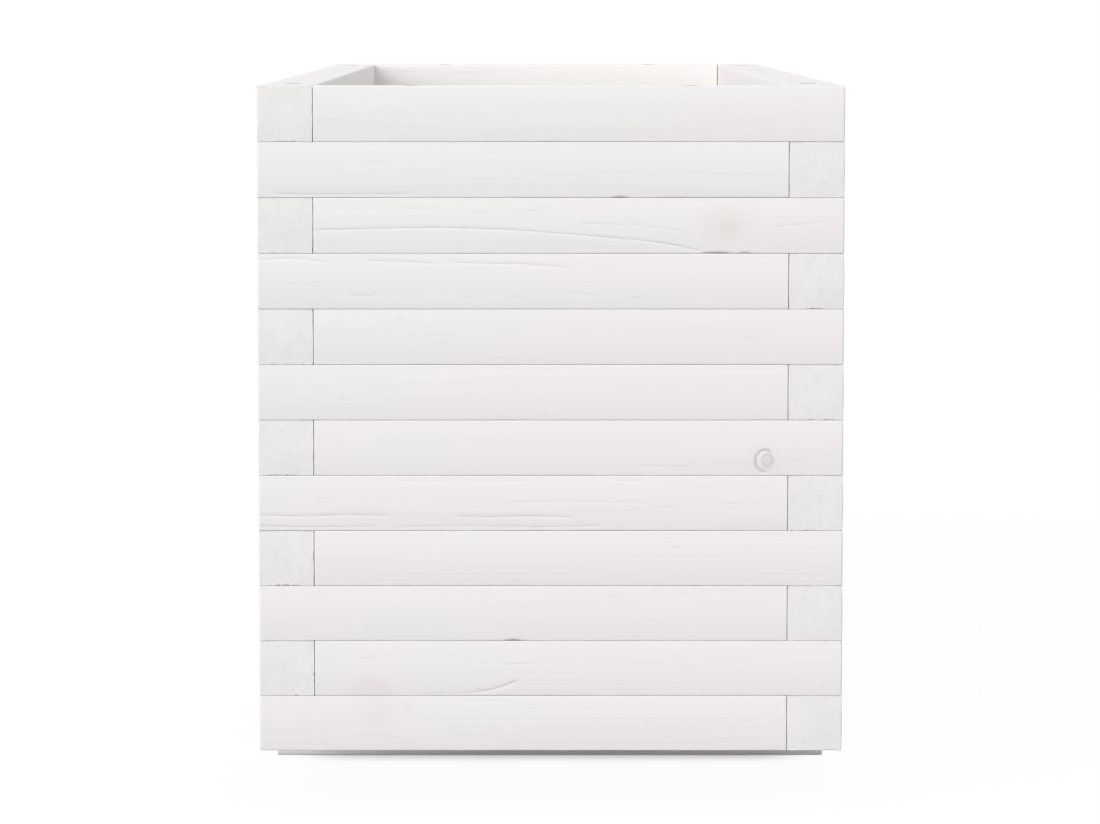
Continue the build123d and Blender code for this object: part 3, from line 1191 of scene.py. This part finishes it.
    def ease_ends(self, along: np.ndarray, points: np.ndarray, faces: np.ndarray) -> None:
        """Rounds the rims of the sawn ends and tears small chips out of them.

        Args:
            along: Places of the sections.
            points: Points of the long faces, which are changed.
            faces: Face that each outline point lies on.
        """
        girth = self.girth(points[0])
        weight = np.array(self.fray_shares)[faces]
        hidden_rim = min(self.bevel)
        hidden = np.array((hidden_rim, hidden_rim, self.inner_bevel, hidden_rim))[faces]
        for number, end in enumerate((along[0], along[-1])):
            torn = wander(girth / (1.5 * MM), girth * 0, self.seed + 31 + number)
            patch = wander(girth / (9 * MM), girth * 0, self.seed + 33 + number)
            depth = (self.fray if self.shows(end) else self.hidden_fray) * weight
            chips = depth * np.clip(torn * 0.8 + patch * 0.7 - 0.25, 0, 1)
            rim = np.array(self.bevel)[faces] if self.shows(end) else hidden
            for step, from_end in enumerate(self.end_steps[:-1]):
                section = step if number == 0 else len(along) - 1 - step
                eased = (rim if step == 0 else 0.0) + chips * math.exp(-1.1 * from_end / MM)
                reach = np.linalg.norm(points[section], axis=1)
                points[section] *= (1 - eased / reach)[:, None]

    def cap(self, edge: np.ndarray, end: float, inward: int, seed: int) -> np.ndarray:
        """Rings of points over a sawn end, and the point in its middle.

        Args:
            edge: Outline points at the end.
            end: Place of the end along the grain.
            inward: 1 or -1, the direction into the timber.
            seed: Picks the saw marks.

        Returns:
            The points, each as its place along the grain, outward and up.
        """
        rings = np.concatenate([edge * share for share in self.cap_rings] + [np.zeros((1, 2))])
        saw = wander(rings[:, 0] / (2.3 * MM), rings[:, 1] / (9 * MM), seed)
        pits = wander(rings[:, 0] / (4 * MM), rings[:, 1] / (3.5 * MM), seed + 1)
        level = rings / np.array([self.half_width, self.half_height])
        crown = self.end_crown if self.shows(end) else 0.0
        sink = 0.02 * MM + 0.04 * MM * (2 + saw + pits) + crown * (level**2).sum(1) / 2
        return np.concatenate([(end + inward * sink)[:, None], rings], 1)

    def shell(self) -> tuple[np.ndarray, list[tuple[int, ...]], list[int]]:
        """Points, faces and material numbers of the whole timber, before it is placed."""
        along, points = self.surface()
        count, girth = points.shape[:2]
        rim_set_in = 0.8 * self.end_crown
        along[0] += rim_set_in if self.shows(along[0]) else 0.0
        along[-1] -= rim_set_in if self.shows(along[-1]) else 0.0
        lengthwise = np.broadcast_to(along[:, None, None], (count, girth, 1))
        verts = [np.concatenate([lengthwise, points], 2).reshape(-1, 3)]
        faces = self.band(np.arange(count * girth).reshape(count, girth))
        slots = [0] * len(faces)
        total = count * girth
        ends = ((0, 1, self.low[self.grain]), (count - 1, -1, self.high[self.grain]))
        for section, inward, end in ends:
            verts.append(self.cap(points[section], end, inward, self.seed + 41 + section))
            first_ring = np.arange(girth) + section * girth
            rings = np.arange(len(self.cap_rings) * girth).reshape(-1, girth) + total
            total += rings.size + 1
            made = self.band(np.vstack([first_ring, rings]))
            made += [(int(a), int(b), total - 1) for a, b in zip(rings[-1], np.roll(rings[-1], -1))]
            faces += [face[::-1] for face in made] if inward == 1 else made
            slots += [1] * len(made)
        return np.concatenate(verts), faces, slots

    @staticmethod
    def band(ids: np.ndarray) -> list[tuple[int, ...]]:
        """Quads between each row of points and the next, round the whole outline.

        Args:
            ids: Point numbers, by row and place round the outline.

        Returns:
            The corners of each quad.
        """
        near, far = ids[:-1], ids[1:]
        corners = (near, np.roll(near, -1, 1), np.roll(far, -1, 1), far)
        return [tuple(quad) for quad in np.stack(corners, -1).reshape(-1, 4).tolist()]

    def mesh(self) -> bpy.types.Mesh:
        """Builds the mesh in world coordinates."""
        local, faces, slots = self.shell()
        world = np.empty_like(local)
        world[:, self.grain] = local[:, 0]
        world[:, self.level] = self.middle[self.level] + self.outward * local[:, 1]
        world[:, 2] = self.middle[2] + local[:, 2]
        mirrored = (self.grain == 0) != (self.outward == 1)
        made = bpy.data.meshes.new(f"{self.node}_timber")
        made.from_pydata(world.tolist(), [], [face[::-1] for face in faces] if mirrored else faces)
        made.polygons.foreach_set("material_index", slots)
        made.polygons.foreach_set("use_smooth", [True] * len(faces))
        return made

    def write_figure(self, mesh: bpy.types.Mesh) -> None:
        """Writes where each point lies in the timber and in the tree, for the finish to read.

        Args:
            mesh: The finished mesh.
        """
        world = np.empty(len(mesh.vertices) * 3)
        mesh.vertices.foreach_get("co", world)
        world = world.reshape(-1, 3)
        outward = (world[:, self.level] - self.middle[self.level]) * self.outward
        place = np.stack([world[:, self.grain], outward, world[:, 2] - self.middle[2]], 1)
        for name, values in (("place", place), ("wood", place + self.pith)):
            layer = mesh.attributes.new(name, "FLOAT_VECTOR", "POINT")
            layer.data.foreach_set("vector", values.astype(np.float32).ravel())

    def build(self, finishes: Sequence[bpy.types.Material],
              seats: ScrewSeats | None = None) -> None:
        """Adds the timber to the scene in place of its CAD node.

        Args:
            finishes: Materials of the long faces, the sawn ends and the bored recesses.
            seats: Screw seats to cut out of it.
        """
        mesh = self.mesh()
        for finish in finishes:
            mesh.materials.append(finish)
        piece = bpy.data.objects.new(mesh.name, mesh)
        bpy.context.scene.collection.objects.link(piece)
        if seats is not None:
            seats.cut(piece)
        self.write_figure(piece.data)
        piece.data.set_sharp_from_angle(angle=SHARP_ANGLE)
        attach(piece, BODY)
        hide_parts(self.node)
        LOG.info("%s: %d faces", piece.name, len(piece.data.polygons))


@dataclass
class Walls:
    """The courses of battens, crossed at the corners.

    Attributes:
        course_count: Number of courses.
        screw_end_inset: Distance of the screws from the bed's outer faces.
        screw_line: Distance of the screws from the outer face of their wall.
        slot: Material slot of the battens.
        finish: Finish of the battens.
        plain_tint: Warmth and chill of the battens that have no marks of their own.
        cuts: Points over the outer, level and inner faces, by wall.
        steps: Spacing of the sections, by wall.
        rim_crown: Crown of each face of the upper course.
        rim_relief: Height of the grain on each face of the upper course.
    """

    course_count: int = 12
    screw_end_inset: float = 104 * MM
    screw_line: float = 19 * MM
    slot: str = "white_timber"
    finish: TimberFinish = TimberFinish()
    plain_tint: tuple[float, float] = (-0.10, 0.08)
    cuts: dict[Wall, tuple[int, int, int]] = field(default_factory=lambda: {
        Wall.FRONT: (40, 14, 14), Wall.BACK: (24, 14, 14),
        Wall.LEFT: (34, 24, 24), Wall.RIGHT: (34, 24, 24),
    })
    steps: dict[Wall, float] = field(default_factory=lambda: {
        Wall.FRONT: 2 * MM, Wall.BACK: 5 * MM, Wall.LEFT: 15 * MM, Wall.RIGHT: 15 * MM,
    })
    rim_crown: tuple[float, float, float, float] = (0.4 * MM, 0.15 * MM, 0.2 * MM, 0.0)
    rim_relief: tuple[float, float, float, float] = (0.07 * MM, 0.06 * MM, 0.04 * MM, 0.02 * MM)

    def screws_of(self, wall: Wall) -> ScrewSeats:
        """Screw seats in the top face of a batten of the upper course.

        Args:
            wall: The wall that the batten is in.

        Returns:
            The seats.
        """
        high = cad_bounds[1]
        across = wall.outward * (high[1 - wall.grain] - self.screw_line)
        reach = high[wall.grain] - self.screw_end_inset
        pairs = ((along, across) for along in (-reach, reach))
        places = tuple(pair if wall.grain == 0 else pair[::-1] for pair in pairs)
        return ScrewSeats(places, face=high[2])

    def stain(self, tint: tuple[float, float]) -> WhiteStain:
        """The battens' stain with this warmth and chill."""
        return replace(self.finish.stain, warmth=tint[0], chill=tint[1])

    def build(self) -> None:
        """Builds and dresses every batten."""
        plain = self.stain(self.plain_tint).material("white_stain")
        others = (
            self.finish.sawn.material("white_sawn_end"), self.finish.bored.material("shaded_bore_wood"),
        )
        for course in range(1, self.course_count + 1):
            for wall in Wall:
                marks = FRONT_MARKS.get(course, ()) if wall is Wall.FRONT else ()
                stain = plain
                if marks:
                    tinted = self.stain(FRONT_TINTS.get(course, (0.0, 0.0)))
                    stain = tinted.material(f"white_stain_{course:02d}", marks)
                self.build_batten(course, wall, marks, (stain, *others))

    def build_batten(self, course: int, wall: Wall, marks: tuple[Mark, ...],
                     finishes: Sequence[bpy.types.Material]) -> None:
        """Builds and dresses one batten.

        Args:
            course: Course, counted from 1 at the bottom.
            wall: The wall that it is in.
            marks: Marks of its outer face.
            finishes: Materials of the long faces, the sawn ends and the bored recesses.
        """
        top_course = course == self.course_count
        outer, level, inner = self.cuts[wall]
        timber = Timber(
            node=f"course_{course:02d}_{wall.value}_batten",
            slot=self.slot,
            grain=wall.grain,
            outward=wall.outward,
            seed=100 * course + 7 * list(Wall).index(wall),
            cuts=(outer, level, inner, level),
            step=self.steps[wall],
            marks=marks,
        )
        if top_course:
            timber.crown, timber.relief = self.rim_crown, self.rim_relief
        timber.build(finishes, self.screws_of(wall) if top_course else None)


@dataclass
class Runners:
    """The foot runners under the walls and the floor.

    Attributes:
        count: Number of runners.
        slot: Material slot.
        screw_offset: Distance of the two screws from the middle of each joint, both ways.
        side_line: Middle of the side walls.
        seed: Seed that the runners' own are counted from.
        finish: Finish of the runners.
    """

    count: int = 3
    slot: str = "runner_timber"
    screw_offset: float = 9 * MM
    side_line: float = 181 * MM
    seed: int = 2000
    finish: TimberFinish = TimberFinish(WhiteStain(streaks=1.6, figure=1.4))

    def build(self) -> None:
        """Builds and dresses every runner."""
        finishes = self.finish.materials("runner")
        for number in range(1, self.count + 1):
            node = f"foot_runner_{number}"
            low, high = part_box(node)
            middle = (low[1] + high[1]) / 2
            places = tuple(
                (side * (self.side_line + sign * self.screw_offset),
                 middle + sign * self.screw_offset)
                for side in (-1, 1)
                for sign in (-1, 1)
            )
            timber = Timber(
                node, self.slot, grain=0, outward=-1, seed=self.seed + number, arris=1.5 * MM,
                cuts=(18, 14, 18, 18), step=5 * MM, crown=(0.2 * MM, 0.0, 0.2 * MM, 0.0),
                relief=(0.08 * MM, 0.02 * MM, 0.08 * MM, 0.01 * MM),
                shy=(0.08 * MM, 0.03 * MM, 0.08 * MM, 0.0), fray=0.6 * MM,
            )
            timber.build(finishes, ScrewSeats(places, face=low[2], turned=True))


@dataclass
class FloorSlats:
    """The slatted floor on the runners.

    Attributes:
        count: Number of slats.
        runner_count: Number of runners that they are screwed to.
        slot: Material slot.
        screw_seat: Radius of the mouth of a screw's cone seat.
        screw_hole: Radius of the hole under it.
        seed: Seed that the slats' own are counted from.
        finish: Finish of the slats.
    """

    count: int = 4
    runner_count: int = 3
    slot: str = "floor_timber"
    screw_seat: float = 4.15 * MM
    screw_hole: float = 2.15 * MM
    seed: int = 3000
    finish: TimberFinish = TimberFinish(
        WhiteStain(streaks=1.3, figure=1.6, swell=0.0, flat=True)
    )

    def build(self) -> None:
        """Builds and dresses every slat."""
        finishes = self.finish.materials("slat")
        runners = [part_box(f"foot_runner_{number}") for number in range(1, self.runner_count + 1)]
        lines = [(low[1] + high[1]) / 2 for low, high in runners]
        for number in range(1, self.count + 1):
            node = f"floor_slat_{number}"
            low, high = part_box(node)
            middle = (low[0] + high[0]) / 2
            seats = ScrewSeats(
                tuple((middle, y) for y in lines), face=high[2], recess=None,
                seat=self.screw_seat, hole=self.screw_hole,
            )
            timber = Timber(
                node, self.slot, grain=1, outward=1, seed=self.seed + number, arris=1.5 * MM,
                cuts=(8, 34, 8, 16), step=12 * MM, crown=(0.0, 0.3 * MM, 0.0, 0.1 * MM),
                relief=(0.05 * MM, 0.09 * MM, 0.05 * MM, 0.02 * MM),
            )
            timber.build(finishes, seats)


@dataclass
class Screws:
    """The screws, whose CAD shapes are kept and given a finish.

    Attributes:
        nodes: CAD nodes of the screws.
        plate: Their finish.
    """

    nodes: tuple[str, ...] = (
        "end_wall_screws", "side_wall_screws", "runner_screws", "floor_screws",
    )
    plate: ZincPlate = ZincPlate()

    def dress(self) -> None:
        """Gives every screw its finish."""
        finish = self.plate.material("zinc_plate")
        for node in self.nodes:
            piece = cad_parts[node]
            piece.data.materials.clear()
            piece.data.materials.append(finish)
            LOG.info("%s: finished", node)


@dataclass
class Studio:
    """Floor, lights and camera.

    Attributes:
        sky: Strength of the even light from all round.
        key: Strength of the soft lamp at the front left.
        key_from: Direction that its light comes from.
        key_spread: How wide the lamp looks from the bed, in degrees.
        floor_size: Side of the floor.
        floor_level: Height of the floor, a hair under the runners.
        floor_colour: Colour of the floor as the bed sees it.
        floor_glow: Light that the floor gives the bed by itself.
        shadow: Share of the lit floor in what the camera sees near the bed.
        shadow_reach: How far from the bed's middle that share has gone, and where it is whole.
        shadow_under: The same share under the bed, behind its front runner.
        under_side: Where that share has gone, and where it is whole, to the sides.
        under_front: The same toward the front.
        under_back: The same toward the back.
        camera_place: Place of the camera.
        camera_pitch: How far the camera looks down, in degrees.
        lens: Focal length for a sensor as wide as SENSOR_WIDTH.
        shift: Shift of the picture, as a share of its width.
        clip: Nearest and farthest distance that the camera sees.
    """

    sky: float = 0.84
    key: float = 2.16
    key_from: tuple[float, float, float] = (-0.634, -0.727, 0.266)
    key_spread: float = 55.0
    floor_size: float = 60.0
    floor_level: float = -0.3 * MM
    floor_colour: Colour = (0.28, 0.28, 0.28)
    floor_glow: float = 0.03
    shadow: float = 0.045
    shadow_reach: tuple[float, float] = (2.2, 0.9)
    shadow_under: float = 0.8
    under_side: tuple[float, float] = (200 * MM, 150 * MM)
    under_front: tuple[float, float] = (-400 * MM, -340 * MM)
    under_back: tuple[float, float] = (550 * MM, 500 * MM)
    camera_place: tuple[float, float, float] = (-0.0112, -3.2571, 0.5449)
    camera_pitch: float = 4.181
    lens: float = 130.43
    shift: tuple[float, float] = (0.0142, -0.10)
    clip: tuple[float, float] = (0.05, 200.0)

    @staticmethod
    def seen(shader: Shader) -> Signal:
        """1 for rays that show the surroundings as a picture, and 0 for light."""
        path = shader.node("LightPath")
        rays = [
            Signal(shader, path.outputs[name])
            for name in ("Is Camera Ray", "Is Glossy Ray", "Is Transmission Ray")
        ]
        return rays[0].at_least(rays[1]).at_least(rays[2])

    def build_world(self) -> None:
        """Even light from all round, which shows as plain white."""
        world = bpy.data.worlds.new("studio")
        world.use_nodes = True
        bpy.context.scene.world = world
        shader = Shader(world.node_tree)
        light = shader.signal("Background", 0, Color=(1, 1, 1, 1), Strength=self.sky)
        white = shader.signal("Background", 0, Color=(1, 1, 1, 1), Strength=1.0)
        mixed = shader.signal("MixShader", 0, _0=self.seen(shader), _1=light, _2=white)
        shader.node("OutputWorld", Surface=mixed)

    def build_floor(self) -> None:
        """A pale floor that keeps a soft shadow of the bed and fades into the white round it."""
        material, shader = new_material("pale_floor")
        x, y, _ = shader.parts(shader.signal("TexCoord", "Object"))
        near = shader.ramp((x * x + y * y).root(), *self.shadow_reach, 0.0, self.shadow)
        middle = shader.ramp(x.size(), *self.under_side)
        under = middle * shader.ramp(y, *self.under_front) * shader.ramp(y, *self.under_back)
        near = near.at_least(under * self.shadow_under)
        pale = shader.signal("BsdfDiffuse", 0, Color=(*self.floor_colour, 1))
        own = shader.signal("Emission", 0, Color=(1, 1, 1, 1), Strength=self.floor_glow)
        lit = shader.signal("AddShader", 0, _0=pale, _1=own)
        bright = shader.signal("BsdfDiffuse", 0, Color=(1.0, 1.0, 1.0, 1))
        glow = shader.signal("Emission", 0, Color=(1, 1, 1, 1), Strength=1.0)
        shown = shader.signal("MixShader", 0, _0=near, _1=glow, _2=bright)
        mixed = shader.signal("MixShader", 0, _0=self.seen(shader), _1=lit, _2=shown)
        shader.node("OutputMaterial", Surface=mixed)
        half, level = self.floor_size / 2, self.floor_level
        corners = [(-half, -half, level), (half, -half, level), (half, half, level),
                   (-half, half, level)]
        mesh = bpy.data.meshes.new("studio_floor")
        mesh.from_pydata(corners, [], [(0, 1, 2, 3)])
        mesh.materials.append(material)
        floor = bpy.data.objects.new("studio_floor", mesh)
        bpy.context.scene.collection.objects.link(floor)

    def build_lamp(self) -> None:
        """One large soft lamp at the front left, so far away that its light is even."""
        data = bpy.data.lights.new("key_lamp", "SUN")
        data.energy, data.angle = self.key, math.radians(self.key_spread)
        lamp = bpy.data.objects.new("key_lamp", data)
        lamp.rotation_euler = Vector(self.key_from).to_track_quat("Z", "Y").to_euler()
        bpy.context.scene.collection.objects.link(lamp)

    def build_camera(self) -> None:
        """The camera, straight in front of the end wall and a little above the rim."""
        data = bpy.data.cameras.new("camera")
        data.sensor_width, data.lens = SENSOR_WIDTH, self.lens
        data.shift_x, data.shift_y = self.shift
        data.clip_start, data.clip_end = self.clip
        camera = bpy.data.objects.new("camera", data)
        camera.location = self.camera_place
        camera.rotation_euler = (math.radians(90 - self.camera_pitch), 0, 0)
        bpy.context.scene.collection.objects.link(camera)
        bpy.context.scene.camera = camera

    def build(self) -> None:
        """Sets up the whole studio."""
        bpy.context.scene.view_settings.view_transform = "Standard"
        self.build_world()
        self.build_floor()
        self.build_lamp()
        self.build_camera()


def main() -> None:
    """Builds the bed's pieces in order, then the studio."""
    logging.basicConfig(level=logging.INFO, format="%(message)s")
    Walls().build()
    Runners().build()
    FloorSlats().build()
    Screws().dress()
    Studio().build()


if __name__ == "__main__":
    main()
